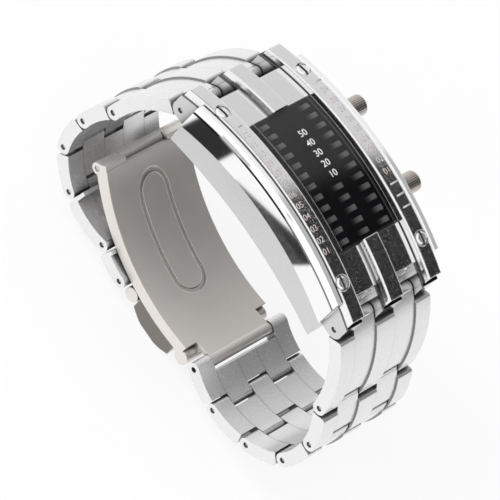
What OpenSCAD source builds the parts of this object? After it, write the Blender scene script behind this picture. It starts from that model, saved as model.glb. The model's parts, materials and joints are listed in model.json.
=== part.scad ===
// LED wrist watch on a five-row metal bracelet with a folding clasp, closed, standing on its clasp.
// X runs across the wrist to the pushers, Y to 12 o'clock and Z up through the display.

/* [Head] */
// Length over the lugs
head_len = 56.8; // [54:0.2:60]
// Distance between the two lug pins
lug_span = 52.8; // [50.8:0.2:54]
// Width over the lugs and the bracelet
band_w = 26.2; // [25.4:0.2:28]
// Height of the crown of the rails above the lug pins
crown_h = 11.8; // [11:0.2:13]
// Radius of the curve that the whole top follows
crown_r = 68; // [60:1:80]
// Length of the thick side blocks
block_len = 47.4; // [45:0.2:48]
// How far each side block stands out past the lugs
block_bulge = 2; // [1.4:0.1:2.4]
// Height of the belly edge of the side block above the lug pins
belly_h = 4.6; // [4:0.1:5.5]
// Height of the underside above the lug pins at mid length
back_h = -4.2; // [-5:0.1:-3.4]
// Radius of the arched underside
back_r = 125; // [100:5:200]
// Radius of the lugs round their pins
lug_r = 2.05; // [1.8:0.05:2.1]

/* [Top] */
// Width of each rail
rail_w = 3.75; // [3.2:0.05:4.2]
// Thickness of the rails
rail_t = 1.8; // [1.4:0.1:2.2]
// Width of the middle rib at its top
rib_w = 3.9; // [3.4:0.1:4.2]
// How far the rails and the rib stand proud of the low tiles
tile_drop = 1.7; // [1.2:0.1:2]
// Thickness of the low tiles
tile_t = 1.4; // [1:0.1:1.8]
// Length of the tiles' end, from the centre of the watch
tile_end = 23.6; // [22.6:0.1:24]
// Distance between the rail screws along the watch
screw_span = 41; // [38:0.5:43]
// Radius of the rail screws' heads
screw_head_r = 1.55; // [1.3:0.05:1.6]

/* [Display] */
// Width of the lens
lens_w = 17.2; // [16:0.1:17.4]
// Length of the lens
lens_len = 30.4; // [29:0.2:32]
// Thickness of the lens
lens_t = 1.2; // [0.8:0.1:1.4]
// How far the lens lies below the rails
lens_drop = 0.2; // [0.1:0.1:0.6]
// Rows of light bars
bar_rows = 12; // [10:1:12]
// Rows of light bars in the middle column, below the numerals
mid_rows = 5; // [4:1:6]
// Distance between the rows
bar_pitch = 2.51; // [2.3:0.01:2.55]
// Distance of the outer columns from the middle one
bar_offset = 5.8; // [5:0.1:6]
// Width of a light bar
bar_w = 3; // [2.4:0.1:3.4]
// Height of a light bar along the watch
bar_h = 1.1; // [0.8:0.1:1.4]

/* [Module] */
// Width of the cavity for the module
cavity_w = 21.2; // [20.6:0.1:21.8]
// Length of the cavity for the module
cavity_len = 37; // [36:0.2:38]
// Thickness of the caseback
back_t = 1.2; // [1:0.1:1.5]
// Ledge that the caseback seats on, all round the cavity
back_ledge = 1; // [0.8:0.1:1.1]
// Diameter of a coin cell
cell_d = 16; // [12:0.5:16]
// Thickness of a coin cell
cell_t = 1.6; // [1.2:0.1:1.8]

/* [Pushers] */
// Diameter of the pusher heads
push_d = 4.4; // [3.6:0.1:4.6]
// Height of the pushers above the lug pins
push_h = 7.9; // [7:0.1:7.9]
// Place of the upper pusher along the watch
push_upper_y = 9; // [8:0.1:10]
// Place of the lower pusher along the watch
push_lower_y = -9.6; // [-10.4:0.1:-8.6]
// How far the heads reach from the middle of the watch
push_reach = 19.1; // [18.2:0.1:19.8]
// Travel of the pushers
push_travel = 0.8; // [0.5:0.1:0.9]
// Turns in a pusher's spring
spring_turns = 5; // [3:1:6]

/* [Bracelet] */
// Length of the curved first link between its pins
first_pitch = 20.4; // [19:0.2:22]
// Length of the ordinary links between their pins
link_pitch = 10.1; // [9.4:0.1:10.8]
// Length of the fifth link at 12 o'clock
cover_pitch = 12.7; // [12:0.1:13.2]
// Length of the last link at 12 o'clock
end_pitch_12 = 8.2; // [8:0.1:8.6]
// Length of the last link at 6 o'clock
end_pitch_6 = 9.1; // [8.8:0.1:9.4]
// Height of the low columns above the pins
link_out = 1.1; // [1:0.05:1.3]
// Depth of the links below the pins
link_in = 1.6; // [1.5:0.05:1.7]
// How far columns one, three and five stand proud
link_step = 0.4; // [0.3:0.05:0.5]
// Width of the middle column
mid_col_w = 5.3; // [4.6:0.1:5.8]
// Width of the two low columns
low_col_w = 6.1; // [5.6:0.1:6.4]
// Radius that the ordinary links are bowed to
link_bow_r = 19; // [17:1:40]
// Radius that the first links are bowed to
first_bow_r = 28; // [26:1:60]
// Rounding of the front edge of the proud columns
column_edge_r = 0.8; // [0.4:0.1:1]
// Depth of the thin wall under the fifth link at 12 o'clock
wall_h = 2.4; // [1:0.1:2.6]
// Radius of the link pins
pin_r = 0.6; // [0.45:0.05:0.7]

/* [Clasp] */
// Width of the inner blade
blade_w = 23.6; // [22:0.2:24.4]
// Thickness of the blades
blade_t = 1.1; // [0.9:0.1:1.2]
// Bow of the inner blade
inner_bow = 6.4; // [6.2:0.1:6.6]
// Height of the folded edges of the inner blade
flange_h = 2.9; // [2.7:0.05:3]
// Thickness of the folded edges
flange_t = 1.2; // [1:0.1:1.3]
// Radius of the feet at the ends of the blades
foot_r = 1.7; // [1.5:0.05:1.75]
// Radius of the rolled barrels
barrel_r = 1.4; // [1.2:0.05:1.4]
// Depth of the catch bridge below the blade hinge
bridge_drop = 4.2; // [4:0.1:4.6]
// Length of the catch bridge
bridge_len = 12; // [11:0.2:12.2]
// Radius of the outside of the catch bridge
bridge_r = 10.2; // [9.6:0.2:11]
// Thickness of the catch bridge
bridge_t = 1.1; // [0.8:0.1:1.3]

/* [Fits] */
// Radial clearance of every pin in its bore
pin_fit = 0.04; // [0.02:0.01:0.08]
// Clearance between the folded blades
nest_gap = 0.15; // [0.1:0.01:0.2]
// Side clearance between the columns of two links
side_gap = 0.15; // [0.1:0.05:0.2]
// Clearance between seated pieces
seat_gap = 0.05; // [0.03:0.01:0.1]
// Gap between a link's round end and the next link
knuckle_gap = 0.3; // [0.25:0.05:0.4]

/* [Hidden] */

$fn = 96;
eps = 0.01;
half_w = band_w / 2;
crown_z = crown_h - crown_r;

// Column edges across the bracelet, and the same places on the lugs
col_3 = mid_col_w / 2;
col_2 = col_3 + low_col_w;

// Radii of the layers of the head about the centre of the crown
rail_under = crown_r - rail_t;
tile_top = crown_r - tile_drop;
tile_under = tile_top - tile_t;
lens_top = crown_r - lens_drop;
lens_under = lens_top - lens_t;
mask_t = 0.4;
mask_top = lens_under - seat_gap;
bar_t = 0.7;
board_top = mask_top - bar_t - seat_gap;
board_t = 0.8;
ceiling_r = board_top - board_t - 0.2;

// Loop of the closed bracelet: pitch of each link and the way that it points, 0 being outward
pitch_12 = [first_pitch, link_pitch, link_pitch, link_pitch, cover_pitch, end_pitch_12];
pitch_6 = [first_pitch, link_pitch, link_pitch, link_pitch, link_pitch, end_pitch_6];
heading_12 = [-61.7, -70.5, -94, -136.2, -175.4, -164.1];
heading_6 = [-61.9, -66.5, -97, -136.2, -165.6, -196.7];
function walk(pitch, heading, n) = n == 0
    ? [lug_span / 2, 0]
    : walk(pitch, heading, n - 1)
        + pitch[n - 1] * [cos(heading[n - 1]), sin(heading[n - 1])];
hinge_b = walk(pitch_12, heading_12, 6);
hinge_c = [-walk(pitch_6, heading_6, 6)[0], walk(pitch_6, heading_6, 6)[1]];
hinge_a = hinge_b + [19.9, 13.7];
pin_z = bridge_drop - hinge_b[1];

tail_r = (link_in + link_out + link_step) / 2;
tab_r = (link_in + link_out) / 2;
front_face = max(link_out + link_step, link_in) + knuckle_gap;
low_tail = link_in + 2 * knuckle_gap;
pin_recess = 0.35;
pin_len = band_w - 2 * pin_recess;
bore_r = pin_r + pin_fit;
ear_in = col_2 + side_gap;
barrel_w = 2 * (ear_in - side_gap - 0.1);

// A flat profile drawn in Y and Z, drawn out across the watch from x0 to x1
module across(x0, x1) translate([x0, 0, 0]) rotate([90, 0, 90]) linear_extrude(x1 - x0) children();

// A profile of [radius, x] turned about the centre of the crown
module crowned() translate([0, 0, crown_z]) rotate([0, 90, 0]) rotate_extrude($fn = 180) children();

// A layer of the crown between two radii and two x, for both sides alike
module layer(r0, r1, x0, x1) crowned() translate([r0, x0]) square([r1 - r0, x1 - x0]);

// A block centred on the middle plane, from y0 to y1
module span(w, y0, y1) translate([-w / 2, y0, -30]) cube([w, y1 - y0, 60]);

module raise() translate([0, 0, pin_z]) children();

module bar_along_x(x0, x1, r, y, z) translate([x0, y, z]) rotate([0, 90, 0]) cylinder(h = x1 - x0, r = r);

// Case

module lug_profile() {
    intersection() {
        translate([0, crown_z]) circle(r = rail_under - seat_gap, $fn = 180);
        for (s = [-1, 1]) {
            translate([s * lug_span / 2, 0]) circle(r = lug_r);
            translate([s * (lug_span / 2 + head_len / 2) / 2 - (head_len - lug_span) / 4, 0])
                square([(head_len - lug_span) / 2, crown_h]);
            translate([s > 0 ? block_len / 2 - 4 : -lug_span / 2, -lug_r])
                square([lug_span / 2 - block_len / 2 + 4, crown_h]);
        }
    }
}

module lug_under_tiles() {
    difference() {
        lug_profile();
        translate([-tile_end - seat_gap, 0]) square([2 * (tile_end + seat_gap), 2 * crown_h]);
    }
}

module trunk_profile(top_r) {
    difference() {
        intersection() {
            translate([0, crown_z]) circle(r = top_r, $fn = 180);
            translate([-block_len / 2, -12]) square([block_len, 12 + crown_h]);
        }
        translate([0, back_h - back_r]) circle(r = back_r, $fn = 180);
    }
}

module side_block() {
    belly_r = belly_h - crown_z;
    foot_r = belly_r - 14.5;
    x0 = half_w + seat_gap;
    x1 = x0 + block_bulge - seat_gap;
    difference() {
        intersection() {
            crowned() polygon([[foot_r, half_w - 1], [foot_r, x1 - 2.7], [belly_r, x1],
                [crown_r - 2.3, x1 - 0.1], [crown_r - 1.6, x1 - 0.02], [crown_r - 0.9, x1 - 0.1],
                [crown_r - 0.5, x1 - 0.25], [crown_r - 0.25, x1 - 0.5], [crown_r - 0.25, x0 + 0.5],
                [crown_r - 0.6, x0], [rail_under - seat_gap, x0], [rail_under - seat_gap, half_w - 1]]);
            span(60, -block_len / 2, block_len / 2);
        }
        across(half_w - 2, x1 + 1) translate([0, back_h - back_r]) circle(r = back_r, $fn = 180);
    }
}

module case_shell() {
    across(-half_w, half_w) trunk_profile(tile_under - seat_gap);
    for (s = [0, 1]) mirror([s, 0, 0]) {
        across(half_w - rail_w, half_w) {
            trunk_profile(rail_under - seat_gap);
            lug_profile();
        }
        across(col_2 + side_gap, half_w - rail_w) lug_under_tiles();
    }
    across(-col_3, col_3) lug_under_tiles();
    side_block();
    mirror([1, 0, 0]) side_block();
}

function screw_angle() = asin(screw_span / 2 / crown_r);
module at_rail_screws() for (sx = [-1, 1], sy = [-1, 1])
    translate([sx * (half_w - 1.56), 0, crown_z]) rotate([-sy * screw_angle(), 0, 0]) children();

caseback_w = cavity_w + 2 * back_ledge;
caseback_len = cavity_len + 2 * back_ledge + 2.6;
back_screw_x = caseback_w / 2 - 3;
back_screw_y = cavity_len / 2 + 0.9;
back_screw_z = back_h - back_screw_y * back_screw_y / 2 / back_r;
module at_back_screws() for (sx = [-1, 1], sy = [-1, 1])
    translate([sx * back_screw_x, sy * back_screw_y, 0]) children();

module back_slab(w, len, t, below) intersection() {
    across(-w / 2, w / 2) translate([0, back_h - back_r]) difference() {
        circle(r = back_r + t, $fn = 180);
        circle(r = back_r - below, $fn = 180);
    }
    span(w, -len / 2, len / 2);
}

push_inner = half_w + seat_gap;
push_shaft_r = 0.7;
module push_bore(y) {
    bar_along_x(push_inner, half_w + 6, push_d / 2 + pin_fit, y, push_h);
    bar_along_x(cavity_w / 2 - 2, push_inner + eps, push_shaft_r + pin_fit, y, push_h);
    bar_along_x(cavity_w / 2 + 0.75, cavity_w / 2 + 1.45, push_shaft_r + 0.5, y, push_h);
    bar_along_x(clip_x - 1.8, cavity_w / 2 + 0.01, clip_r + 0.1, y, push_h);
}

module case_body() {
    color([0.78, 0.79, 0.8]) raise() difference() {
        case_shell();
        intersection() {
            layer(40, ceiling_r, -cavity_w / 2, cavity_w / 2);
            span(cavity_w, -cavity_len / 2, cavity_len / 2);
        }
        intersection() {
            layer(ceiling_r - 1, crown_r, -lens_w / 2 - seat_gap, lens_w / 2 + seat_gap);
            span(40, -lens_len / 2 - seat_gap, lens_len / 2 + seat_gap);
        }
        back_slab(caseback_w + 2 * seat_gap, caseback_len + 2 * seat_gap, back_t + seat_gap, 4);
        at_back_screws() translate([0, 0, -8]) cylinder(h = 8.4, r = 0.6, $fn = 32);
        at_rail_screws() translate([0, 0, rail_under - 3]) cylinder(h = 4, r = 0.7, $fn = 32);
        for (s = [-1, 1]) bar_along_x(-half_w - 1, half_w + 1, bore_r, s * lug_span / 2, 0);
        push_bore(push_upper_y);
        push_bore(push_lower_y);
    }
}

// Rails with their rounded outer moulding

rail_end = head_len / 2 - 0.4;
module rail(side) {
    raise() difference() {
        intersection() {
            crowned() mirror([0, side < 0 ? 1 : 0]) polygon([[rail_under, half_w - rail_w],
                [rail_under, half_w], [crown_r - 0.3, half_w], [crown_r - 0.12, half_w - 0.06],
                [crown_r - 0.04, half_w - 0.15], [crown_r, half_w - 0.28], [crown_r, half_w - rail_w + 0.25],
                [crown_r - 0.25, half_w - rail_w]]);
            span(60, -rail_end, rail_end);
        }
        at_rail_screws() {
            translate([0, 0, rail_under - 1]) cylinder(h = 4, r = 0.85, $fn = 32);
            translate([0, 0, crown_r - 0.95]) cylinder(h = 3, r = screw_head_r + seat_gap);
        }
    }
}

module left_rail() color([0.86, 0.87, 0.88]) rail(-1);
module right_rail() color([0.86, 0.87, 0.88]) rail(1);

// The raised rib and the two low tiles at one end of the display
module end_piece() {
    top_x = rib_w / 2;
    foot_x = min(top_x + 0.65, col_3 - 0.02);
    edge = half_w - rail_w - seat_gap;
    intersection() {
        crowned() polygon([[tile_under, -edge], [tile_under, edge], [tile_top - 0.15, edge],
            [tile_top, edge - 0.15], [tile_top, foot_x], [crown_r - 0.25, top_x + 0.1],
            [crown_r, top_x - 0.15], [crown_r, 0.15 - top_x], [crown_r - 0.25, -0.1 - top_x],
            [tile_top, -foot_x], [tile_top, 0.15 - edge], [tile_top - 0.15, -edge]]);
        span(40, lens_len / 2 + 2 * seat_gap, tile_end);
    }
    intersection() {
        crowned() polygon([[rail_under, -foot_x], [rail_under, foot_x], [crown_r - 0.25, top_x + 0.1],
            [crown_r, top_x - 0.15], [crown_r, 0.15 - top_x], [crown_r - 0.25, -0.1 - top_x]]);
        span(40, tile_end - 1, rail_end);
    }
}

module end_piece_12() color([0.86, 0.87, 0.88]) raise() end_piece();
module end_piece_6() color([0.2, 0.2, 0.21]) raise() mirror([0, 1, 0]) end_piece();

module rail_screws() {
    color([0.7, 0.71, 0.72]) raise() at_rail_screws() translate([0, 0, crown_r]) difference() {
        union() {
            translate([0, 0, -0.9]) cylinder(h = 0.75, r = screw_head_r);
            translate([0, 0, -0.16]) cylinder(h = 0.25, r1 = screw_head_r - 0.15, r2 = screw_head_r - 0.55);
            translate([0, 0, -rail_t - 1]) cylinder(h = rail_t + 0.5, r = 0.6, $fn = 32);
        }
        translate([-0.28, -3, -0.35]) cube([0.56, 6, 2]);
    }
}

// Display and module

module display_lens() {
    color([0.02, 0.02, 0.025]) raise() intersection() {
        crowned() polygon([[lens_under, -lens_w / 2], [lens_under, lens_w / 2],
            [lens_top - 0.25, lens_w / 2], [lens_top, lens_w / 2 - 0.25],
            [lens_top, 0.25 - lens_w / 2], [lens_top - 0.25, -lens_w / 2]]);
        span(40, -lens_len / 2, lens_len / 2);
    }
}

mask_w = lens_w - 1.4;
mask_len = lens_len - 1.4;
module framed(r0, r1, w, len, wall) difference() {
    intersection() {
        layer(r0, r1, -w / 2, w / 2);
        span(w, -len / 2, len / 2);
    }
    span(w - 2 * wall, wall - len / 2, len / 2 - wall);
}

module lens_gasket() {
    color([0.05, 0.05, 0.05]) raise()
        framed(mask_top - bar_t, lens_under - seat_gap / 2, lens_w - 0.1, lens_len - 0.1, 0.55);
}

row_angle = asin(bar_pitch / mask_top);
module at_row(n) translate([0, 0, crown_z]) rotate([-(n - (bar_rows - 1) / 2) * row_angle, 0, 0]) children();
module bars(grow, r0, t) for (n = [0:bar_rows - 1], c = n < mid_rows ? [-1, 0, 1] : [-1, 1])
    at_row(n) translate([c * bar_offset - bar_w / 2 - grow, -bar_h / 2 - grow, r0])
        cube([bar_w + 2 * grow, bar_h + 2 * grow, t]);

module mask_plate() {
    color([0.04, 0.04, 0.045]) raise() difference() {
        intersection() {
            layer(mask_top - mask_t, mask_top, -mask_w / 2, mask_w / 2);
            span(mask_w, -mask_len / 2, mask_len / 2);
        }
        bars(0.08, mask_top - 1, 2);
    }
}

module light_bars() color([0.3, 0.3, 0.31]) raise() bars(0, mask_top - bar_t, bar_t - 0.08);

board_w = mask_w - 2;
board_len = mask_len + 1;
module display_board() {
    color([0.05, 0.25, 0.14]) raise() intersection() {
        layer(board_top - board_t, board_top - seat_gap, -board_w / 2, board_w / 2);
        span(board_w, -board_len / 2, board_len / 2);
    }
}

frame_top = ceiling_r + crown_z - 1.6;
frame_h = 3.4;
cell_z = frame_top - frame_h - cell_t - 1;
clip_x = cavity_w / 2 - 0.45;
clip_r = 1.3;
switch_x = clip_x - 2.2;
module push_switches() {
    color([0.15, 0.15, 0.16]) raise() for (y = [push_upper_y, push_lower_y]) {
        translate([switch_x - 3, y - 1.5, push_h - 1.8]) cube([2.6, 3, 1.5]);
        bar_along_x(switch_x - 0.41, switch_x, 0.35, y, push_h - 0.65);
    }
}

module module_frame() {
    color([0.85, 0.85, 0.82]) raise() difference() {
        intersection() {
            translate([-cavity_w / 2 + 0.3, -cavity_len / 2 + 0.3, cell_z])
                cube([cavity_w - 0.6, cavity_len - 0.6, 12]);
            layer(40, ceiling_r - 0.25, -cavity_w / 2, cavity_w / 2);
        }
        for (s = [-1, 1]) translate([0, s * (cell_d / 2 + 0.4), cell_z - 1])
            cylinder(h = cell_t + 1 + seat_gap, r = cell_d / 2 + 0.15);
        translate([switch_x - 3.2, push_lower_y - 2, push_h - 2])
            cube([10, push_upper_y - push_lower_y + 4, 8]);
    }
}

module coin_cells() {
    color([0.75, 0.75, 0.74]) raise() for (s = [-1, 1])
        translate([0, s * (cell_d / 2 + 0.4), cell_z - 0.1]) {
            cylinder(h = cell_t, r = cell_d / 2);
            translate([0, 0, -0.2]) cylinder(h = 0.25, r = cell_d / 2 - 1.2);
        }
}

module battery_strap() {
    color([0.8, 0.72, 0.45]) raise() difference() {
        translate([-2.5, -cell_d + 1, cell_z - 0.62]) cube([5, 2 * cell_d - 2, 0.3]);
        for (s = [-1, 1]) translate([-0.9, s * cell_d / 2 - 3, cell_z - 1]) cube([1.8, 6, 1]);
    }
}

// Caseback

module caseback() {
    color([0.7, 0.71, 0.72]) raise() difference() {
        back_slab(caseback_w, caseback_len, back_t, 0);
        at_back_screws() {
            translate([0, 0, -8]) cylinder(h = 8, r = 0.75, $fn = 32);
            translate([0, 0, back_screw_z - 3.4]) cylinder(h = 4, r = 1.15, $fn = 48);
        }
    }
}

module caseback_gasket() {
    color([0.06, 0.06, 0.06]) raise() difference() {
        back_slab(cavity_w - 0.2, cavity_len - 0.2, back_t + 0.55, -back_t - seat_gap / 2);
        span(cavity_w - 1.6, 0.8 - cavity_len / 2, cavity_len / 2 - 0.8);
    }
}

module caseback_screws() {
    color([0.6, 0.61, 0.62]) raise() at_back_screws() translate([0, 0, back_screw_z]) difference() {
        union() {
            cylinder(h = 0.55, r = 1.05, $fn = 48);
            cylinder(h = 3.2, r = 0.55, $fn = 32);
        }
        translate([-0.2, -2, -1]) cube([0.4, 4, 1.3]);
    }
}

module lug_pins() {
    color([0.75, 0.75, 0.76]) raise() for (s = [-1, 1])
        bar_along_x(-pin_len / 2, pin_len / 2, pin_r, s * lug_span / 2, 0);
}

// Pushers: a head with a spring cup, a shaft through a sealed bore and a clip inside the case

cup_r = push_d / 2 - 0.3;
cup_depth = 2.4;
push_face = push_inner + push_travel + 0.15;
module pusher(y) {
    raise() difference() {
        union() {
            bar_along_x(push_face, push_reach - 0.35, push_d / 2, y, push_h);
            translate([push_reach - 0.36, y, push_h]) rotate([0, 90, 0])
                cylinder(h = 0.36, r1 = push_d / 2, r2 = push_d / 2 - 0.35);
            bar_along_x(switch_x + push_travel + 0.1, push_face + 1, push_shaft_r, y, push_h);
        }
        translate([push_face - 0.01, y, push_h]) rotate([0, 90, 0]) difference() {
            cylinder(h = cup_depth, r = cup_r);
            translate([0, 0, -1]) cylinder(h = cup_depth + 2, r = push_shaft_r);
        }
        translate([clip_x - 0.5, y, push_h]) rotate([0, 90, 0]) difference() {
            cylinder(h = 0.4, r = 2);
            translate([0, 0, -1]) cylinder(h = 3, r = push_shaft_r - 0.22);
        }
    }
}

wire_r = 0.16;
coil_r = (push_shaft_r + cup_r) / 2;
coil_x0 = push_inner + wire_r + 0.02;
coil_x1 = push_face + cup_depth - wire_r - 0.04;
ring_per_turn = 10;
function coil_point(k, n) = let (a = 360 * k / ring_per_turn)
    [coil_x0 + (coil_x1 - coil_x0) * k / n, coil_r * cos(a), coil_r * sin(a)];
module coil(y) {
    n = spring_turns * ring_per_turn;
    sides = 6;
    points = [for (k = [0:n], j = [0:sides - 1])
        let (a = 360 * k / ring_per_turn, b = 360 * j / sides, p = coil_point(k, n))
        [p[0] + wire_r * sin(b), p[1] + wire_r * cos(b) * cos(a), p[2] + wire_r * cos(b) * sin(a)]];
    walls = [for (k = [0:n - 1], j = [0:sides - 1])
        let (a = k * sides + j, b = k * sides + (j + 1) % sides)
        each [[a, a + sides, b], [b, a + sides, b + sides]]];
    caps = [[for (j = [0:sides - 1]) j], [for (j = [sides - 1:-1:0]) n * sides + j]];
    translate([0, y, push_h]) polyhedron(points, concat(walls, caps));
}

module push_clip(y) {
    translate([clip_x - 0.48, y, push_h]) rotate([0, 90, 0]) difference() {
        cylinder(h = 0.34, r = clip_r);
        translate([0, 0, -1]) cylinder(h = 3, r = push_shaft_r - 0.18);
        translate([-0.35, -3, -1]) cube([0.7, 3, 3]);
    }
}

module upper_pusher() color([0.72, 0.69, 0.66]) pusher(push_upper_y);
module lower_pusher() color([0.72, 0.69, 0.66]) pusher(push_lower_y);
module upper_pusher_spring() color([0.7, 0.7, 0.7]) raise() coil(push_upper_y);
module lower_pusher_spring() color([0.7, 0.7, 0.7]) raise() coil(push_lower_y);
module upper_pusher_clip() color([0.5, 0.5, 0.52]) raise() push_clip(push_upper_y);
module lower_pusher_clip() color([0.5, 0.5, 0.52]) raise() push_clip(push_lower_y);

module pusher_o_rings() {
    color([0.05, 0.05, 0.05]) raise() for (y = [push_upper_y, push_lower_y])
        translate([cavity_w / 2 + 1.1, y, push_h]) rotate([0, 90, 0])
            rotate_extrude() translate([push_shaft_r + 0.25, 0]) circle(r = 0.23, $fn = 24);
}

// Bracelet links: columns 1, 3 and 5 stand proud and reach past the tail pin,
// columns 2 and 4 are low and reach past the front pin into the piece before

function bow_of(pitch) = pitch > 15 ? first_bow_r : link_bow_r;
function front_of(pitch) = pitch > 15 ? lug_r + knuckle_gap : front_face;
function bow_depth(pitch) = sqrt(pow(bow_of(pitch), 2) - pitch * pitch / 4);
function bow_top(pitch, above, u) = sqrt(pow(bow_of(pitch) + above, 2) - pow(u - pitch / 2, 2)) - bow_depth(pitch);

module link_band(pitch, u0, u1, above) intersection() {
    translate([pitch / 2, -bow_depth(pitch)]) difference() {
        circle(r = bow_of(pitch) + above, $fn = 180);
        circle(r = bow_of(pitch) - link_in, $fn = 180);
    }
    translate([u0, -10]) square([u1 - u0, 20]);
}

module proud_column(pitch, has_tail) {
    above = link_out + link_step;
    front = front_of(pitch);
    round_r = pitch == cover_pitch ? 2 * column_edge_r : column_edge_r;
    edge = [front + round_r, bow_top(pitch, above, front + round_r) - round_r];
    difference() {
        link_band(pitch, front, has_tail ? pitch : pitch - low_tail, above);
        translate(edge) difference() {
            translate([-round_r - 1, 0]) square([round_r + 1, round_r + 1]);
            circle(r = round_r);
        }
    }
    if (has_tail) translate([pitch, tail_r - link_in]) circle(r = tail_r);
}

module low_column(pitch) {
    link_band(pitch, 0, pitch - low_tail, link_out);
    translate([0, tab_r - link_in]) circle(r = tab_r);
}

// ends = true makes the last link, whose two outer columns are ears for a clasp hinge
module link(pitch, wall, ends) {
    difference() {
        union() {
            across(-half_w, half_w) {
                link_band(pitch, front_of(pitch), pitch - low_tail, link_out);
                if (wall > 0) translate([front_face, -link_in - wall]) square([0.8, link_in + wall]);
            }
            across(-col_3, col_3) proud_column(pitch, !ends);
            for (s = [0, 1]) mirror([s, 0, 0]) {
                across(ear_in, half_w) proud_column(pitch, true);
                across(col_3 + side_gap, col_2) low_column(pitch);
            }
        }
        bar_along_x(-20, 20, bore_r, 0, 0);
        bar_along_x(-20, 20, bore_r, pitch, 0);
    }
}

module at_link(side, pitch, heading, n) {
    p = walk(pitch, heading, n - 1);
    raise() mirror([0, side < 0 ? 1 : 0, 0]) translate([0, p[0], p[1]])
        rotate([heading[n - 1], 0, 0]) children();
}

module link_12(n) color([0.8, 0.81, 0.82]) at_link(1, pitch_12, heading_12, n)
    link(pitch_12[n - 1], n == 5 ? wall_h : n == 6 ? 0.4 : 0, n == 6);
module link_6(n) color([0.8, 0.81, 0.82]) at_link(-1, pitch_6, heading_6, n)
    link(pitch_6[n - 1], 0, n == 6);
module pin_12(n) color([0.7, 0.71, 0.72]) at_link(1, pitch_12, heading_12, n)
    bar_along_x(-pin_len / 2, pin_len / 2, pin_r, pitch_12[n - 1], 0);
module pin_6(n) color([0.7, 0.71, 0.72]) at_link(-1, pitch_6, heading_6, n)
    bar_along_x(-pin_len / 2, pin_len / 2, pin_r, pitch_6[n - 1], 0);

// Clasp: the inner blade is a bowed channel, and the middle blade folds up inside it

function bow_radius(a, b, bow) = (pow(norm(b - a) / 2, 2) + bow * bow) / (2 * bow);
function bow_centre(a, b, bow) = let (d = (b - a) / norm(b - a))
    (a + b) / 2 + (bow_radius(a, b, bow) - bow) * [d[1], -d[0]];
function beside(from, to, by) = let (d = (to - from) / norm(to - from)) by * [d[1], -d[0]];

inner_a = hinge_a + beside(hinge_a, hinge_c, barrel_r + blade_t + 0.1);
inner_end = hinge_c + beside(hinge_a, hinge_c, barrel_r - blade_t / 2);
inner_c = bow_centre(inner_a, inner_end, inner_bow);
inner_r = bow_radius(inner_a, inner_end, inner_bow) - blade_t / 2;
plate_r = inner_r + blade_t;
flange_r = inner_r + flange_h;
middle_r = plate_r + nest_gap;
middle_w = blade_w - 2 * (flange_t + side_gap);
foot_b = hinge_b + [-3.55, -0.75];
foot_c = hinge_c + [3.95, -2.8];
slot_r = 4.2;
knuckle = blade_w / 4;

// Part of a ring about the centre of the bow, between the rays through two points
module arc_strip(r0, r1, from, to) intersection() {
    translate(inner_c) difference() {
        circle(r = r1, $fn = 240);
        circle(r = r0, $fn = 240);
    }
    polygon([inner_c, inner_c + 2 * (from - inner_c), inner_c + 2 * (to - inner_c)]);
}

// A straight web from a barrel up to the ring of radius r, from w0 to w1 across the line between them
module web(p, w0, w1, r) {
    e = (inner_c - p) / norm(inner_c - p);
    t = [-e[1], e[0]];
    top = inner_c - r * e;
    polygon([p + w0 * t, p + w1 * t, top + w1 * t, top + w0 * t]);
}

module both_sides() for (s = [0, 1]) mirror([s, 0, 0]) children();

module emboss() {
    intersection() {
        across(-blade_w / 2, blade_w / 2) translate(inner_c) difference() {
            circle(r = inner_r + 0.3, $fn = 240);
            circle(r = inner_r - 1, $fn = 240);
        }
        difference() {
            union() {
                translate([-slot_r, 5, -80]) cube([2 * slot_r, 17, 100]);
                for (y = [5, 22]) translate([0, y, -80]) cylinder(h = 100, r = slot_r);
            }
            union() {
                translate([0.9 - slot_r, 5, -80]) cube([2 * slot_r - 1.8, 17, 100]);
                for (y = [5, 22]) translate([0, y, -80]) cylinder(h = 100, r = slot_r - 0.9);
            }
        }
    }
}

// The end of the blade is as narrow as its barrel, to pass between the ears of the last link
neck_len = foot_c[0] - hinge_c[0] + 0.65;
module inner_blade() {
    color([0.68, 0.66, 0.63]) raise() difference() {
        union() {
            difference() {
                union() {
                    across(-blade_w / 2, blade_w / 2) arc_strip(inner_r, plate_r, hinge_a, hinge_c);
                    both_sides() across(blade_w / 2 - flange_t, blade_w / 2)
                        arc_strip(inner_r, flange_r, hinge_a, hinge_c);
                }
                both_sides() across(barrel_w / 2, half_w + 1) {
                    translate(hinge_c - [6, 6]) square([6 + neck_len, 14]);
                }
                emboss();
            }
            both_sides() {
                bar_along_x(knuckle + side_gap, blade_w / 2, barrel_r, hinge_a[0], hinge_a[1]);
                across(knuckle + side_gap, blade_w / 2) web(hinge_a, 0.2 - barrel_r, barrel_r - 0.2, inner_r + 0.1);
            }
            bar_along_x(-barrel_w / 2, barrel_w / 2, barrel_r, hinge_c[0], hinge_c[1]);
            bar_along_x(-blade_w / 2, blade_w / 2, foot_r, foot_c[0], foot_c[1]);
            across(-barrel_w / 2, barrel_w / 2) web(foot_c, 0.4 - foot_r, foot_r - 0.4, plate_r - 0.3);
        }
        bar_along_x(-20, 20, bore_r, hinge_a[0], hinge_a[1]);
        bar_along_x(-20, 20, bore_r, hinge_c[0], hinge_c[1]);
    }
}

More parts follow.
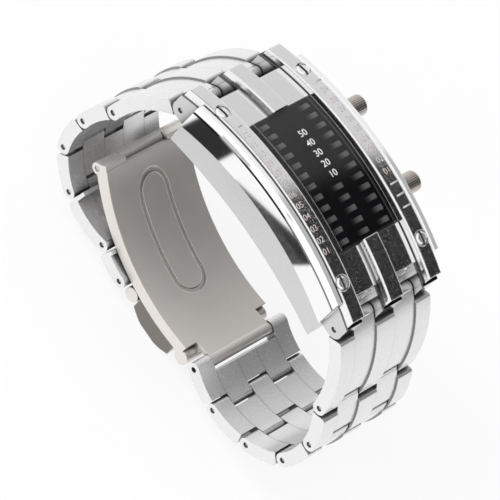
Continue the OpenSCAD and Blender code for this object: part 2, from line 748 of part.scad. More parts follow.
module middle_blade() {
    color([0.66, 0.64, 0.62]) raise() difference() {
        union() {
            difference() {
                across(-middle_w / 2, middle_w / 2) arc_strip(middle_r, middle_r + blade_t, hinge_a, foot_b - [0.6, 0]);
                both_sides() across(knuckle, half_w) {
                    translate(hinge_a) circle(r = barrel_r + knuckle_gap);
                    web(hinge_a, -barrel_r - knuckle_gap, barrel_r + knuckle_gap, inner_r);
                }
            }
            across(-knuckle, knuckle) {
                translate(hinge_a) circle(r = barrel_r);
                web(hinge_a, 0, barrel_r, middle_r + 0.1);
            }
            across(-barrel_w / 2, barrel_w / 2) {
                translate(hinge_b) circle(r = barrel_r);
                web(hinge_b, 0.2 - barrel_r, barrel_r - 0.2, middle_r + 0.3);
            }
            bar_along_x(-blade_w / 2, blade_w / 2, foot_r, foot_b[0], foot_b[1]);
            across(-middle_w / 2, middle_w / 2) web(foot_b, 0.3 - foot_r, foot_r - 0.3, middle_r + 0.3);
        }
        bar_along_x(-20, 20, bore_r, hinge_a[0], hinge_a[1]);
        bar_along_x(-20, 20, bore_r, hinge_b[0], hinge_b[1]);
    }
}

module blade_pin() {
    color([0.7, 0.68, 0.66]) raise()
        bar_along_x(0.15 - blade_w / 2, blade_w / 2 - 0.15, pin_r, hinge_a[0], hinge_a[1]);
}

bridge_y = (foot_b[0] + foot_c[0]) / 2 + 0.3;
bridge_low = hinge_b[1] - bridge_drop;
module catch_bridge() {
    centre = [bridge_y, bridge_low - 0.25 + bridge_r];
    color([0.72, 0.7, 0.67]) raise() difference() {
        across(0.2 - blade_w / 2, blade_w / 2 - 0.2) difference() {
            intersection() {
                translate(centre) circle(r = bridge_r);
                translate([bridge_y - bridge_len / 2, bridge_low]) square([bridge_len, 12]);
            }
            translate(inner_c) circle(r = flange_r + 0.01, $fn = 240);
        }
        across(1.3 - blade_w / 2, blade_w / 2 - 1.3) intersection() {
            translate(centre) circle(r = bridge_r - bridge_t - 0.25);
            translate([bridge_y - bridge_len / 2 + bridge_t, bridge_low])
                square([bridge_len - 2 * bridge_t, 12]);
        }
    }
}

module end_spring_bar() {
    color([0.75, 0.75, 0.76]) raise()
        bar_along_x(0.05 - barrel_w / 2, barrel_w / 2 - 0.05, pin_r, hinge_c[0], hinge_c[1]);
}

case_body();
left_rail();
right_rail();
end_piece_12();
end_piece_6();
rail_screws();
display_lens();
lens_gasket();
mask_plate();
light_bars();
display_board();
push_switches();
module_frame();
coin_cells();
battery_strap();
caseback();
caseback_gasket();
caseback_screws();
lug_pins();
pusher_o_rings();
upper_pusher();
upper_pusher_spring();
upper_pusher_clip();
lower_pusher();
lower_pusher_spring();
lower_pusher_clip();
link_12(1);  // link_12_1
link_12(2);  // link_12_2
link_12(3);  // link_12_3
link_12(4);  // link_12_4
link_12(5);  // link_12_5
link_12(6);  // link_12_6
pin_12(1);  // pin_12_1
pin_12(2);  // pin_12_2
pin_12(3);  // pin_12_3
pin_12(4);  // pin_12_4
pin_12(5);  // pin_12_5
pin_12(6);  // pin_12_6
link_6(1);  // link_6_1
link_6(2);  // link_6_2
link_6(3);  // link_6_3
link_6(4);  // link_6_4
link_6(5);  // link_6_5
link_6(6);  // link_6_6
pin_6(1);  // pin_6_1
pin_6(2);  // pin_6_2
pin_6(3);  // pin_6_3
pin_6(4);  // pin_6_4
pin_6(5);  // pin_6_5
middle_blade();
inner_blade();
blade_pin();
catch_bridge();
end_spring_bar();
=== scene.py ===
# Closed light-bar wrist watch on a five-row steel bracelet, on a pale studio floor.
import json
import math

import bmesh
import bpy
from mathutils import Matrix, Vector


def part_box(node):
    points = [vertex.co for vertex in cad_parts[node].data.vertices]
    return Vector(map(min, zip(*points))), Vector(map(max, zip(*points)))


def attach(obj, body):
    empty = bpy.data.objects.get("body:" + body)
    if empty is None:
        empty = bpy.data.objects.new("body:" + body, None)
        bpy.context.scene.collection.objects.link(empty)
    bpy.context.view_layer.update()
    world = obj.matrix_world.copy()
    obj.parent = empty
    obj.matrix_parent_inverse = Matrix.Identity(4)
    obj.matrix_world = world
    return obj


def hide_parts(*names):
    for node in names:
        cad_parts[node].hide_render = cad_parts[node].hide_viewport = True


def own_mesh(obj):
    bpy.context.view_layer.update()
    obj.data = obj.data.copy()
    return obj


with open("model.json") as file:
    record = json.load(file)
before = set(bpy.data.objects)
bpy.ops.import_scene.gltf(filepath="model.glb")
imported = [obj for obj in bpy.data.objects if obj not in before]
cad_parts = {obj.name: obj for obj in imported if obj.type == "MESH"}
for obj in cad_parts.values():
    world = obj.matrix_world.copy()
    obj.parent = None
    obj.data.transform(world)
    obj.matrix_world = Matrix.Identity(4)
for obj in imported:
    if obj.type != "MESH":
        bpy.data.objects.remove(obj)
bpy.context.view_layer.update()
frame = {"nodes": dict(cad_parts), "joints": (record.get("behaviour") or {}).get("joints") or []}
nodes = frame["nodes"]
jointAt = {j["name"]: Vector(j["pos_m"]) for j in frame["joints"] if "pos_m" in j}
lugZ = jointAt["link_12_1_hinge"].z  # height of the lug pins, which the head is measured from
mm = 0.001
print("frame loaded,", len(nodes), "parts")

crown = {"height": 11.8, "radius": 68.0}  # the curve that the whole top follows, in mm
crownCentre = lugZ + (crown["height"] - crown["radius"]) * mm


def onCrown(x, y, lift):  # a place on the curved top, in mm from the middle of the watch
    turn = y / crown["radius"]
    reach = (crown["radius"] + lift) * mm
    return Vector((x * mm, reach * math.sin(turn), crownCentre + reach * math.cos(turn)))


# Camera, at the photograph's angle
cameraSet = {
    "right": (0.68591, -0.56815, 0.45468),
    "down": (-0.37985, -0.81249, -0.44223),
    "ahead": (0.62068, 0.13062, -0.77311),
    "place": (-0.6599, -0.1395, lugZ + 0.7985),
    "focalPixels": 5304.0,
    "imagePixels": 500.0,
    "sensor": 36.0,
    "farthest": 20,
}


def addCamera():
    data = bpy.data.cameras.new("studioCamera")
    camera = bpy.data.objects.new("studioCamera", data)
    bpy.context.scene.collection.objects.link(camera)
    right, down, ahead = (Vector(cameraSet[k]).normalized() for k in ("right", "down", "ahead"))
    turn = Matrix((right, -down, -ahead)).transposed().to_4x4()
    camera.matrix_world = Matrix.Translation(Vector(cameraSet["place"])) @ turn
    data.sensor_width = cameraSet["sensor"]
    data.lens = cameraSet["focalPixels"] / cameraSet["imagePixels"] * cameraSet["sensor"]
    data.clip_end = cameraSet["farthest"]
    bpy.context.scene.camera = camera


addCamera()
bpy.context.scene.view_settings.view_transform = "Standard"
print("camera set")


# Shader expressions: a socket that can be added, scaled and compared
class Value:
    def __init__(self, board, socket):
        self.board = board
        self.socket = socket

    def join(self, operation, *others):
        return self.board.maths(operation, self, *others)

    def __add__(self, other): return self.join("ADD", other)
    def __radd__(self, other): return self.join("ADD", other)
    def __sub__(self, other): return self.join("SUBTRACT", other)
    def __rsub__(self, other): return self.board.maths("SUBTRACT", other, self)
    def __mul__(self, other): return self.join("MULTIPLY", other)
    def __rmul__(self, other): return self.join("MULTIPLY", other)
    def __gt__(self, other): return self.join("GREATER_THAN", other)
    def __lt__(self, other): return self.join("LESS_THAN", other)
    def __abs__(self): return self.join("ABSOLUTE")

    def ramp(self, low, high, outLow=0.0, outHigh=1.0):  # smooth step between two limits
        kind = {"interpolation_type": "SMOOTHSTEP"}
        return self.board.add("ShaderNodeMapRange", kind, [self, low, high, outLow, outHigh])


# How edges and recesses are felt out, in all finishes
probes = {"edgeSamples": 6, "edge": (0.01, 0.12), "creviceSamples": 8, "creviceShade": (0.25, 0.92),
          "sideways": (0.8, 0.95)}


class Board:  # the nodes of one material or of the world
    def __init__(self, owner):
        owner.use_nodes = True
        self.tree = owner.node_tree
        self.tree.nodes.clear()

    def add(self, kind, settings=None, sockets=None, out=0):
        node = self.tree.nodes.new(kind)
        for name, setting in (settings or {}).items():
            setattr(node, name, setting)
        pairs = sockets.items() if isinstance(sockets, dict) else enumerate(sockets or [])
        for name, given in pairs:
            if isinstance(given, Value):
                self.tree.links.new(given.socket, node.inputs[name])
            else:
                node.inputs[name].default_value = given
        return Value(self, node.outputs[out]) if len(node.outputs) else node

    def maths(self, operation, *values):
        return self.add("ShaderNodeMath", {"operation": operation}, values)

    def axis(self, vector, letter):
        return self.add("ShaderNodeSeparateXYZ", {}, [vector], out=letter)

    def place(self):  # where a point lies on its part, in mm
        spot = self.add("ShaderNodeTexCoord", out="Object")
        return self.stretch(spot, (1 / mm, 1 / mm, 1 / mm))

    def stretch(self, spot, scale):
        return self.add("ShaderNodeVectorMath", {"operation": "MULTIPLY"}, [spot, scale])

    def noise(self, spot, scale, detail=2.0, roughness=0.5):
        sockets = {"Vector": spot, "Scale": scale, "Detail": detail, "Roughness": roughness}
        return self.add("ShaderNodeTexNoise", {}, sockets)

    def mix(self, share, first, second):
        sockets = {0: share, 6: first, 7: second}  # factor and the two colours
        return self.add("ShaderNodeMix", {"data_type": "RGBA"}, sockets, out=2)

    def bump(self, height, distance, strength, under=None):
        sockets = {"Height": height, "Distance": distance * mm, "Strength": strength}
        if under is not None:
            sockets["Normal"] = under
        return self.add("ShaderNodeBump", {}, sockets)

    def edge(self, width):  # the rounded normal, and 0 on open faces towards 1 on edges
        samples = {"samples": probes["edgeSamples"]}
        soft = self.add("ShaderNodeBevel", samples, {"Radius": width * mm})
        hard = self.add("ShaderNodeNewGeometry", out="Normal")
        likeness = self.add("ShaderNodeVectorMath", {"operation": "DOT_PRODUCT"}, [soft, hard],
                            out="Value")
        return soft, (1 - likeness).ramp(*probes["edge"])

    # painted shade: seams and recesses are darkened in the colour, where shade falls
    def creviceShade(self, reach):  # 1 in the open, towards 0 in seams and recesses
        samples = {"samples": probes["creviceSamples"]}
        shade = self.add("ShaderNodeAmbientOcclusion", samples, {"Distance": reach * mm}, out="AO")
        return shade.ramp(*probes["creviceShade"])

    def sideways(self):  # 1 on faces that look to the left or right
        normal = self.add("ShaderNodeNewGeometry", out="Normal")
        return abs(self.axis(normal, "X")).ramp(*probes["sideways"])

    def crownRadius(self, spot):  # distance from the centre of the crown, in mm
        middle = (0, 0, crownCentre / mm)
        flat = self.add("ShaderNodeVectorMath", {"operation": "SUBTRACT"},
                        [self.stretch(spot, (0, 1, 1)), middle])
        return self.add("ShaderNodeVectorMath", {"operation": "LENGTH"}, [flat], out="Value")


def finish(board, **sockets):
    names = {"colour": "Base Color", "metal": "Metallic", "rough": "Roughness",
             "normal": "Normal", "alpha": "Alpha", "ior": "IOR"}
    shader = board.add("ShaderNodeBsdfPrincipled", {}, {names[k]: v for k, v in sockets.items()})
    board.add("ShaderNodeOutputMaterial", {}, {"Surface": shader})


def newMaterial(name):
    material = bpy.data.materials.new(name)
    return material, Board(material)


noiseMiddle = 0.5  # what a noise's values lie around


def tints(tint, *shares):  # darker and paler versions of one colour
    return [tuple(min(1, c * share) for c in tint) + (1,) for share in shares]


# Brushed steel: links, flank of the case, clasp and back
satin = {
    "grain": (1.0, 3, 0.6), "broad": (0.16, 2), "nicks": (3.4, 5, 0.7),  # scale, detail, roughness
    "nickLimits": (0.70, 0.76), "shades": (0.94, 1.03, 1.14), "grainShare": 0.5,
    "broadShare": 0.5, "edgeShare": 0.8,
    "grainRough": 0.12, "broadRough": 0.05, "nickRough": 0.08, "edgeRough": 0.08,
    "nickHeight": 0.12, "lineHeight": 0.004, "bump": 0.6,
}
linkColumns = {"seams": (2.725, 8.825), "fade": (0.05, 0.16), "shade": 0.5, "sideCalm": 0.9}
# The case's mirror wall, by its distance from the crown's centre, in mm
wall = {
    "bottom": (60.7, 60.9), "blockEnd": 23.75, "lugGloss": 0.14, "rough": 0.045, "calm": 0.92,
    "tint": (0.95, 0.95, 0.955, 1), "grooveLow": (65.55, 65.75), "grooveHigh": (66.35, 66.15),
    "grooveShare": 0.85, "grooveShadeTint": (0.06, 0.06, 0.06, 1), "moulding": (66.2, 66.6),
    "dull": 0.45,
}


def brushedSteel(name, tint, rough, grain, lines=1.0, edgeWidth=0.12, shadeShare=0.25, reach=1.8,
                 metal=1.0, mirrorWall=False, columns=False, paintedSideShade=None):
    material, board = newMaterial(name)
    spot = board.place()
    fine = board.noise(board.stretch(spot, grain), *satin["grain"])
    if columns:  # the links' outer sides are smoother
        fine = fine + (noiseMiddle - fine) * board.sideways() * linkColumns["sideCalm"]
    broad = board.noise(spot, *satin["broad"])
    nicks = board.noise(spot, *satin["nicks"]).ramp(*satin["nickLimits"])
    soft, wornAndHighlit = board.edge(edgeWidth)
    dark, pale, wornHighlightTint, shadeTint = tints(tint, *satin["shades"], shadeShare)
    colour = board.mix(fine * satin["grainShare"] + broad * satin["broadShare"], dark, pale)
    # edges are paler: partly wear, partly a painted highlight along the edges
    colour = board.mix(wornAndHighlit * satin["edgeShare"], colour, wornHighlightTint)
    # painted shade, darker in seams and recesses
    colour = board.mix(board.creviceShade(reach), shadeTint, colour)
    # painted shade in the seams between a link's columns
    if columns:  # the seams between a link's columns
        away = abs(board.axis(spot, "X"))
        for middle in linkColumns["seams"]:
            line = abs(away - middle).ramp(*linkColumns["fade"], linkColumns["shade"], 0.0)
            colour = board.mix(line, colour, shadeTint)
    if paintedSideShade:  # painted shade on the bridge's left and right faces
        sideShadeMask = board.sideways() * (1 - wornAndHighlit)
        colour = board.mix(sideShadeMask, colour, tints(tint, paintedSideShade)[0])
    roughness = (rough + (fine - noiseMiddle) * satin["grainRough"]
                 + (broad - noiseMiddle) * satin["broadRough"]
                 + nicks * satin["nickRough"] - wornAndHighlit * satin["edgeRough"])
    height = fine + nicks * satin["nickHeight"]
    if mirrorWall:  # the wall above the satin flank is polished to a mirror
        away = abs(board.axis(spot, "Y"))
        radius = board.crownRadius(spot)
        mirror = radius.ramp(*wall["bottom"]) * (away < wall["blockEnd"])
        roughness = roughness - (away > wall["blockEnd"]) * wall["lugGloss"]
        roughness = roughness * (1 - mirror) + mirror * wall["rough"]
        height = height * (1 - mirror * wall["calm"])
        colour = board.mix(mirror, colour, wall["tint"])
        # painted shade: a dark line in the groove between the wall and the moulding
        grooveShade = radius.ramp(*wall["grooveLow"]) * radius.ramp(*wall["grooveHigh"])
        colour = board.mix(grooveShade * wall["grooveShare"], colour, wall["grooveShadeTint"])
        metal = 1 - radius.ramp(*wall["moulding"]) * wall["dull"]  # the moulding at its top
    normal = board.bump(height, satin["lineHeight"] * lines, satin["bump"], soft)
    finish(board, colour=colour, metal=metal, rough=roughness, normal=normal)
    return material


# Polished steel: rails, end pieces, screws and pins
polish = {
    "broad": (0.5, 3), "specks": (4.0, 5, 0.8), "speckLimits": (0.54, 0.66),
    "hairGrain": (1.0, 14.0, 9.0), "hairs": (1.3, 3, 0.65), "hairLimits": (0.62, 0.70),
    "shades": (0.95, 1.0), "wornHighlightTint": (0.97, 0.97, 0.97, 1), "edgeShare": 0.6,
    "speckRough": 0.22, "hairRough": 0.05, "speckMetal": 0.2,
    "broadHeight": 0.4, "speckHeight": 0.5, "depth": 0.006, "bump": 0.5,
}
ribLine = {"inner": (2.36, 2.42), "outer": (2.62, 2.58), "share": 0.85}  # mm from the middle line


def polishedSteel(name, tint, rough=0.05, haze=0.05, edgeWidth=0.1, shadeShare=0.12, metal=0.985,
                  reach=0.7, ribFootShade=False):
    material, board = newMaterial(name)
    spot = board.place()
    broad = board.noise(spot, *polish["broad"])
    specks = board.noise(spot, *polish["specks"]).ramp(*polish["speckLimits"])
    hairSpot = board.stretch(spot, polish["hairGrain"])
    hairs = board.noise(hairSpot, *polish["hairs"]).ramp(*polish["hairLimits"])
    soft, wornAndHighlit = board.edge(edgeWidth)
    dark, pale, shadeTint = tints(tint, *polish["shades"], shadeShare)
    colour = board.mix(broad, dark, pale)
    # edges are paler: partly wear, partly a painted highlight along the edges
    colour = board.mix(wornAndHighlit * polish["edgeShare"], colour, polish["wornHighlightTint"])
    # painted shade, darker in seams and recesses
    colour = board.mix(board.creviceShade(reach), shadeTint, colour)
    # painted shade: a dark line in the crease along the foot of the rib
    if ribFootShade:  # the line along the foot of the rib
        away = abs(board.axis(spot, "X"))
        line = away.ramp(*ribLine["inner"]) * away.ramp(*ribLine["outer"])
        colour = board.mix(line * ribLine["share"], colour, shadeTint)
    roughness = (rough + (broad - noiseMiddle) * haze + specks * polish["speckRough"]
                 + hairs * polish["hairRough"])
    height = broad * polish["broadHeight"] + specks * polish["speckHeight"]
    normal = board.bump(height, polish["depth"], polish["bump"], soft)
    finish(board, colour=colour, metal=metal - specks * polish["speckMetal"], rough=roughness,
           normal=normal)
    return material


# Plain coats: seals, mask, board, plastics and inks
coats = {
    "fine": (4, 0.6), "fineScale": 3.0, "broad": (0.4, 2), "edgeWidth": 0.08,
    "shades": (0.86, 1.0, 1.3), "fineShare": 0.6, "broadShare": 0.4, "edgeShare": 0.4,
    "fineRough": 0.15, "bump": 0.7,
}


def plainCoat(name, tint, rough, grain=1.0, height=0.01):
    material, board = newMaterial(name)
    spot = board.place()
    fine = board.noise(spot, coats["fineScale"] * grain, *coats["fine"])
    broad = board.noise(spot, *coats["broad"])
    soft, wornAndHighlit = board.edge(coats["edgeWidth"])
    dark, pale, rubbedAndHighlitTint = tints(tint, *coats["shades"])
    colour = board.mix(fine * coats["fineShare"] + broad * coats["broadShare"], dark, pale)
    # edges are paler: partly wear, partly a painted highlight along the edges
    colour = board.mix(wornAndHighlit * coats["edgeShare"], colour, rubbedAndHighlitTint)
    normal = board.bump(fine, height, coats["bump"], soft)
    roughness = rough + (fine - noiseMiddle) * coats["fineRough"]
    finish(board, colour=colour, rough=roughness, normal=normal)
    return material


lensGlass = {
    "tint": (0.004, 0.004, 0.005, 1), "rimTint": (0.5, 0.5, 0.5, 1), "rimInner": (7.98, 8.04),
    "rimOuter": (8.16, 8.22), "rimShare": 0.75, "reflectionVeil": (-8.0, 16.0), "reflectionVeilShare": 0.05,
    "dust": (6.0, 3, 0.7), "dustLimits": (0.74, 0.78), "broad": (0.3, 2), "edgeWidth": 0.15,
    "rough": 0.03, "broadRough": 0.03, "dustRough": 0.2, "depth": 0.003, "bump": 0.4,
    "alpha": 0.42, "ior": 1.6,
}


def lensMaterial():
    material, board = newMaterial("lensGlass")
    spot = board.place()
    dust = board.noise(spot, *lensGlass["dust"]).ramp(*lensGlass["dustLimits"])
    broad = board.noise(spot, *lensGlass["broad"])
    soft = board.edge(lensGlass["edgeWidth"])[0]
    normal = board.bump(dust, lensGlass["depth"], lensGlass["bump"], soft)
    # the glass is paler in a thin line near its long edges, where it gathers light, and a painted
    # reflection veils it a little towards 12
    away = abs(board.axis(spot, "X"))
    rim = away.ramp(*lensGlass["rimInner"]) * (1 - away.ramp(*lensGlass["rimOuter"]))
    reflectionVeil = board.axis(spot, "Y").ramp(*lensGlass["reflectionVeil"]) * lensGlass["reflectionVeilShare"]
    colour = board.mix(rim * lensGlass["rimShare"] + reflectionVeil, lensGlass["tint"], lensGlass["rimTint"])
    roughness = lensGlass["rough"] + broad * lensGlass["broadRough"] + dust * lensGlass["dustRough"]
    finish(board, colour=colour, rough=roughness, normal=normal, alpha=lensGlass["alpha"],
           ior=lensGlass["ior"])
    return material


barFaces = {
    "columnHalf": 2.9, "fade": (-1.4, 0.9), "least": 0.05, "dark": (0.03, 0.03, 0.031, 1),
    "pale": (0.84, 0.84, 0.85, 1), "grain": (4.0, 3), "grainTint": (0.1, 0.1, 0.1, 1),
    "grainShare": 0.2, "rough": 0.35, "depth": 0.01, "bump": 0.5,
}


def barMaterial():  # each bar gets paler towards its right end
    material, board = newMaterial("barFace")
    spot = board.place()
    half = barFaces["columnHalf"]
    cell = board.maths("WRAP", board.axis(spot, "X"), -half, half)
    along = cell.ramp(*barFaces["fade"], barFaces["least"], 1.0)
    grain = board.noise(spot, *barFaces["grain"])
    colour = board.mix(along, barFaces["dark"], barFaces["pale"])
    colour = board.mix(grain * barFaces["grainShare"], colour, barFaces["grainTint"])
    normal = board.bump(grain, barFaces["depth"], barFaces["bump"])
    finish(board, colour=colour, rough=barFaces["rough"], normal=normal)
    return material


pusherNickel = {
    "tint": (0.62, 0.565, 0.51), "shades": (0.62, 1.05, 1.35, 0.2), "ribs": 30, "ribShadeShare": 0.6,
    "ribHeight": 0.9, "ribsFrom": (14.2, 14.5), "ribsTo": (18.5, 18.7), "grain": (9, 2, 2),
    "grainNoise": (1.0, 3, 0.6), "grainShare": 0.5, "baseShare": 0.25, "edgeWidth": 0.1,
    "edgeShare": 0.7, "reach": 1.0, "grainHeight": 0.12, "rough": 0.24, "grainRough": 0.1,
    "depth": 0.02, "bump": 0.7,
}


def pusherMaterial():  # warm nickel, finely ribbed round its side
    material, board = newMaterial("pusher")
    spot = board.place()
    x, y, z = (board.axis(spot, letter) for letter in "XYZ")
    upper, lower = (sum(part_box(n), Vector()) / 2 / mm for n in ("upper_pusher", "lower_pusher"))
    nearUpper = y > (upper.y + lower.y) / 2
    across = y - lower.y - nearUpper * (upper.y - lower.y)
    rise = z - lower.z - nearUpper * (upper.z - lower.z)
    around = board.maths("ARCTAN2", rise, across)
    side = x.ramp(*pusherNickel["ribsFrom"]) * (1 - x.ramp(*pusherNickel["ribsTo"]))
    ribs = board.maths("SINE", around * pusherNickel["ribs"]) * side
    grain = board.noise(board.stretch(spot, pusherNickel["grain"]), *pusherNickel["grainNoise"])
    soft, wornAndHighlit = board.edge(pusherNickel["edgeWidth"])
    dark, pale, brightWornHighlight, shadeTint = tints(pusherNickel["tint"], *pusherNickel["shades"])
    # the ribs are painted paler and darker in turn: painted light and shade on the ribbing
    share = (grain * pusherNickel["grainShare"] + ribs * pusherNickel["ribShadeShare"]
             + pusherNickel["baseShare"])
    colour = board.mix(share, dark, pale)
    # edges are paler: partly wear, partly a painted highlight along the edges
    colour = board.mix(wornAndHighlit * pusherNickel["edgeShare"], colour, brightWornHighlight)
    # painted shade, darker in seams and recesses
    colour = board.mix(board.creviceShade(pusherNickel["reach"]), shadeTint, colour)
    height = grain * pusherNickel["grainHeight"] + ribs * pusherNickel["ribHeight"]
    normal = board.bump(height, pusherNickel["depth"], pusherNickel["bump"], soft)
    roughness = pusherNickel["rough"] + grain * pusherNickel["grainRough"]
    finish(board, colour=colour, metal=1.0, rough=roughness, normal=normal)
    return material


alongArm = (12, 0.5, 12)  # brushing that runs along the bracelet
acrossArm = (0.5, 12, 12)
finishes = {
    "caseSatin": brushedSteel("caseSatin", (0.67, 0.67, 0.675), 0.26, alongArm, 0.6,
                              mirrorWall=True),
    "railPolish": polishedSteel("railPolish", (0.93, 0.93, 0.935), edgeWidth=0.45),
    "tilePolish": polishedSteel("tilePolish", (0.90, 0.90, 0.905), 0.07, 0.06, 0.3, ribFootShade=True),
    "linkSatin": brushedSteel("linkSatin", (0.80, 0.80, 0.805), 0.26, alongArm, 0.6, shadeShare=0.18,
                              reach=3.4, metal=0.70, columns=True),
    "pinSteel": polishedSteel("pinSteel", (0.62, 0.62, 0.63), 0.2),
    "screwPolish": polishedSteel("screwPolish", (0.95, 0.95, 0.95), 0.06, 0.04, 0.06, 0.03, 0.75,
                                 reach=1.6),
    "clasp": brushedSteel("clasp", (0.76, 0.727, 0.695), 0.32, alongArm, 0.8, 0.25, metal=0.72),
    "bridge": brushedSteel("bridge", (0.70, 0.66, 0.62), 0.28, alongArm, 0.8, 0.3, paintedSideShade=0.3),
    "back": brushedSteel("back", (0.72, 0.72, 0.73), 0.3, acrossArm),
    "spring": polishedSteel("spring", (0.62, 0.62, 0.64), 0.2),
    "seal": plainCoat("seal", (0.035, 0.035, 0.035), 0.6),
    "mask": plainCoat("mask", (0.010, 0.010, 0.011), 0.45, height=0.004),
    "board": plainCoat("board", (0.02, 0.11, 0.05), 0.4),
    "moulding": plainCoat("moulding", (0.78, 0.78, 0.75), 0.5),
    "switch": plainCoat("switch", (0.05, 0.05, 0.055), 0.5),
    "cell": brushedSteel("cell", (0.75, 0.75, 0.74), 0.25, (8, 8, 0.5)),
    "brass": brushedSteel("brass", (0.78, 0.62, 0.30), 0.25, acrossArm),
    "railInk": plainCoat("railInk", (0.62, 0.54, 0.51), 0.45, 3.0, 0.004),
    "lensInk": plainCoat("lensInk", (0.9, 0.9, 0.9), 0.4, 3.0, 0.004),
    "pusher": pusherMaterial(),
    "lens": lensMaterial(),
    "bar": barMaterial(),
}
print("finishes made,", len(finishes))

# Which finish each part wears; the links, pins and pushers' small parts come by their names
wears = {
    "case_body": "caseSatin", "left_rail": "railPolish", "right_rail": "railPolish",
    "end_piece_12": "tilePolish", "end_piece_6": "tilePolish", "rail_screws": "screwPolish",
    "display_lens": "lens", "lens_gasket": "seal", "mask_plate": "mask", "light_bars": "bar",
    "display_board": "board", "push_switches": "switch", "module_frame": "moulding",
    "coin_cells": "cell", "battery_strap": "brass", "caseback": "back", "caseback_gasket": "seal",
    "caseback_screws": "screwPolish", "lug_pins": "pinSteel", "pusher_o_rings": "seal",
    "upper_pusher": "pusher", "lower_pusher": "pusher", "middle_blade": "clasp",
    "inner_blade": "clasp", "blade_pin": "pinSteel", "catch_bridge": "bridge",
    "end_spring_bar": "pinSteel",
}
for name, part in nodes.items():
    small = "spring" if "pusher" in name else "pinSteel"
    key = wears.get(name, "linkSatin" if name.startswith("link") else small)
    for slot in part.material_slots:
        slot.material = finishes[key]
    if not part.material_slots:
        part.data.materials.append(finishes[key])
print("finishes put on the parts")

# Numerals, drawn flat, then laid on the curved top
lettering = {"capHeight": 0.7, "steps": 4, "depth": 0.03}  # capitals' share of the size, mm deep


def glyphs(body, height, weight):
    curve = bpy.data.curves.new("glyphs", "FONT")
    curve.body = body
    curve.size = height / lettering["capHeight"]
    curve.offset = weight
    curve.align_x = "CENTER"
    curve.resolution_u = lettering["steps"]
    holder = bpy.data.objects.new("glyphs", curve)
    bpy.context.scene.collection.objects.link(holder)
    bpy.context.view_layer.update()
    drawn = holder.evaluated_get(bpy.context.evaluated_depsgraph_get())
    mesh = bpy.data.meshes.new_from_object(drawn)
    bpy.data.objects.remove(holder)
    return mesh


def layLabels(name, labels, lift, height, weight, finishName):
    # labels are (text, x, y, wide): the text's middle in mm, and how wide it's stretched
    form = bmesh.new()
    for text, x, y, wide in labels:
        flat = glyphs(text, height, weight)
        before = len(form.verts)
        form.from_mesh(flat)
        form.verts.ensure_lookup_table()
        for vert in form.verts[before:]:
            vert.co = onCrown(x + vert.co.x * wide, y + vert.co.y - height / 2, lift)
        bpy.data.meshes.remove(flat)
    solid = bmesh.ops.extrude_face_region(form, geom=form.faces[:])
    for vert in (v for v in solid["geom"] if isinstance(v, bmesh.types.BMVert)):
        outward = Vector((0, vert.co.y, vert.co.z - crownCentre))
        vert.co -= outward.normalized() * lettering["depth"] * mm
    bmesh.ops.recalc_face_normals(form, faces=form.faces)
    mesh = bpy.data.meshes.new(name)
    form.to_mesh(mesh)
    form.free()
    mesh.materials.clear()
    mesh.materials.append(finishes[finishName])
    piece = bpy.data.objects.new(name, mesh)
    bpy.context.scene.collection.objects.link(piece)
    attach(piece, "case")


# Where the numbers and the plain marks lie along the rails, in mm
railMarks = {
    "x": 11.73, "lift": 0.012, "height": 1.3, "weight": 0.012, "wide": 0.98,
    "left": {"01": -13.87, "02": -11.44, "03": -8.87, "04": -6.21, "05": -3.62, "06": -1.12,
             "07": 1.5, "08": 4.0, "09": 6.5, "10": 8.92, "11": 11.36, "12": 13.9},
    "right": {"01": -5.86, "02": -3.21, "03": -0.7, "04": 1.9, "05": 4.4, "06": 6.9, "07": 9.37,
              "08": 11.82, "09": 14.72},
    "mark": "\u2013", "markWeight": 0.14, "markWide": 1.9,
    "marks": {"left": [16.4], "right": [-13.68, -11.08, -8.47, 17.2]},
}
for side, sign in (("left", -1), ("right", 1)):
    x = sign * railMarks["x"]
    rows = [(text, x, y, railMarks["wide"]) for text, y in railMarks[side].items()]
    layLabels(side + "Numerals", rows, railMarks["lift"], railMarks["height"],
              railMarks["weight"], "railInk")
    marks = [(railMarks["mark"], x, y, railMarks["markWide"]) for y in railMarks["marks"][side]]
    layLabels(side + "Marks", marks, railMarks["lift"], railMarks["height"],
              railMarks["markWeight"], "railInk")

# The minutes on the lens, which lies 0.2 mm below the rails
lensMarks = {"lift": -0.188, "height": 1.45, "weight": 0.02, "wide": 1.0, "pitch": 2.51,
             "first": -13.7, "rows": {"10": 5, "20": 6, "30": 7, "40": 8, "50": 9}}
rows = [(text, 0, lensMarks["first"] + n * lensMarks["pitch"], lensMarks["wide"])
        for text, n in lensMarks["rows"].items()]
layLabels("lensNumerals", rows, lensMarks["lift"], lensMarks["height"], lensMarks["weight"],
          "lensInk")
print("numerals laid")

# Springs under the pushers, each copied as a piece of the case
for side in ("upper", "lower"):
    springNode = side + "_pusher_spring"
    coil = bpy.data.objects.new(side + "SpringCoil", nodes[springNode].data.copy())
    bpy.context.scene.collection.objects.link(coil)
    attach(coil, "case")
    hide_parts(springNode)
    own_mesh(coil)
print("springs wound")

# Floor and light
studio = {"radius": 3.0, "steps": 96, "drop": 0.0002, "tint": (0.86, 0.86, 0.865, 1),
          "whiteShare": 0.82}
# Dark cards on the floor, left of the watch: their sides in m, and each edge's softness
cards = {
    "left": (-0.040, -0.046), "upperFrom": (0.0241, 0.0252), "upperTo": (0.0356, 0.0348),
    "lowerAt": -0.0674, "lowerSlope": 0.45, "lowerFrom": (-0.0049, -0.0041),
    "slantAt": -0.0679, "slantSlope": 3.46, "slantTo": (0.0088, 0.0076),
    "lowerTo": (0.020, 0.0185), "depth": 0.97,
    "sand": (2600.0, 3, 0.7), "sandLimits": (0.35, 0.75), "sandTo": (-0.0672, -0.0664),
    "sandShare": 0.14,
}


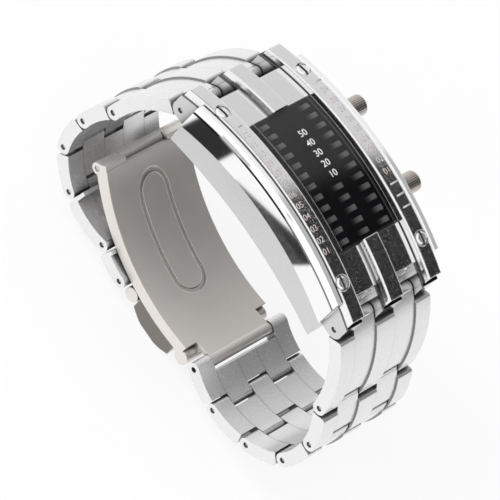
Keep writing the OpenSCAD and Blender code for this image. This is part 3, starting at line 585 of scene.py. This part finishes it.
def addFloor():
    form = bmesh.new()
    bmesh.ops.create_circle(form, cap_ends=True, segments=studio["steps"],
                            radius=studio["radius"])
    mesh = bpy.data.meshes.new("studioFloor")
    form.to_mesh(mesh)
    form.free()
    floor = bpy.data.objects.new("studioFloor", mesh)
    floor.location.z = -studio["drop"]
    bpy.context.scene.collection.objects.link(floor)
    material, board = newMaterial("studioFloor")
    seen = board.add("ShaderNodeLightPath", out="Is Camera Ray")
    glossy = board.add("ShaderNodeLightPath", out="Is Glossy Ray")
    cloth = board.add("ShaderNodeBsdfDiffuse", {}, {"Color": studio["tint"]})
    white = board.add("ShaderNodeEmission", {}, {"Color": (1, 1, 1, 1), "Strength": 1.0})
    black = board.add("ShaderNodeEmission", {}, {"Color": (0, 0, 0, 1), "Strength": 0.0})
    plain = board.add("ShaderNodeMixShader", {}, [seen * studio["whiteShare"], cloth, white])
    # the cards are seen only in the watch's polished sides
    spot = board.add("ShaderNodeNewGeometry", out="Position")
    x, y = board.axis(spot, "X"), board.axis(spot, "Y")
    left = x.ramp(*cards["left"])
    upperCard = y.ramp(*cards["upperFrom"]) * y.ramp(*cards["upperTo"])
    below = y - (x - cards["lowerAt"]) * cards["lowerSlope"]
    slant = y - (x - cards["slantAt"]) * cards["slantSlope"]
    lowerCard = (below.ramp(*cards["lowerFrom"]) * slant.ramp(*cards["slantTo"])
                 * y.ramp(*cards["lowerTo"]))
    sand = board.noise(spot, *cards["sand"]).ramp(*cards["sandLimits"])
    sand = sand * x.ramp(*cards["sandTo"]) * cards["sandShare"]
    dark = upperCard * cards["depth"] + (1 - upperCard) * lowerCard * (cards["depth"] - sand)
    shade = board.add("ShaderNodeMixShader", {}, [dark * left, white, black])
    mirrored = board.add("ShaderNodeMixShader", {}, [glossy, plain, shade])
    board.add("ShaderNodeOutputMaterial", {}, {"Surface": mirrored})
    mesh.materials.append(material)


# The sky: what polished faces mirror is a dark screen beyond the 6 o'clock end, and a dimmer
# part above the pushers; satin faces get a soft light that grows with height
sky = {
    "screenAt": 0.635, "screenSlope": 4.0, "screenEdge": (0.17, 0.05), "screenSide": (0.15, 0.35),
    "screenRise": (0.05, 0.12), "screenDepth": 0.985, "dimSide": (0.25, 0.45),
    "dimRise": (0.2, 0.4), "dimShare": 0.3, "least": 0.62, "rise": (-0.2, 1.0), "gain": 0.25,
}


def addWorld():
    world = bpy.data.worlds.new("studioWorld")
    bpy.context.scene.world = world
    board = Board(world)
    direction = board.add("ShaderNodeTexCoord", out="Generated")
    x, y, z = (board.axis(direction, letter) for letter in "XYZ")
    glossy = board.add("ShaderNodeLightPath", out="Is Glossy Ray")
    camera = board.add("ShaderNodeLightPath", out="Is Camera Ray")
    edge = y + (x - sky["screenAt"]) * sky["screenSlope"]
    dark = edge.ramp(*sky["screenEdge"]) * x.ramp(*sky["screenSide"]) * z.ramp(*sky["screenRise"])
    dim = x.ramp(*sky["dimSide"]) * z.ramp(*sky["dimRise"])
    mirror = (1 - dim * sky["dimShare"]) * (1 - dark * sky["screenDepth"])
    soft = sky["least"] + z.ramp(*sky["rise"]) * sky["gain"]
    strength = soft * (1 - glossy) * (1 - camera) + mirror * glossy + camera
    black = board.add("ShaderNodeBackground", {}, {"Color": (0, 0, 0, 1), "Strength": 0.0})
    white = board.add("ShaderNodeBackground", {}, {"Color": (1, 1, 1, 1), "Strength": 1.0})
    light = board.add("ShaderNodeMixShader", {}, [strength, black, white])
    board.add("ShaderNodeOutputWorld", {}, {"Surface": light})


lamps = {
    "keyLamp": {"place": (-0.5, 0.9, 1.1), "size": 0.9, "watts": 7.0},
    "fillLamp": {"place": (-0.9, -0.9, 0.5), "size": 0.8, "watts": 2.5},
    "sideLamp": {"place": (-1.2, 0.35, 0.4), "size": 0.7, "watts": 5.0},
}
lampAim = Vector((0, 0, 0.03))


def addLamp(name, place, size, watts):
    data = bpy.data.lights.new(name, "AREA")
    data.shape = "DISK"
    data.size = size
    data.energy = watts
    lamp = bpy.data.objects.new(name, data)
    bpy.context.scene.collection.objects.link(lamp)
    lamp.location = place
    lamp.rotation_euler = (lampAim - Vector(place)).to_track_quat("-Z", "Y").to_euler()
    lamp.visible_glossy = False


addFloor()
addWorld()
for name, lampSet in lamps.items():
    addLamp(name, **lampSet)
print("studio lit")
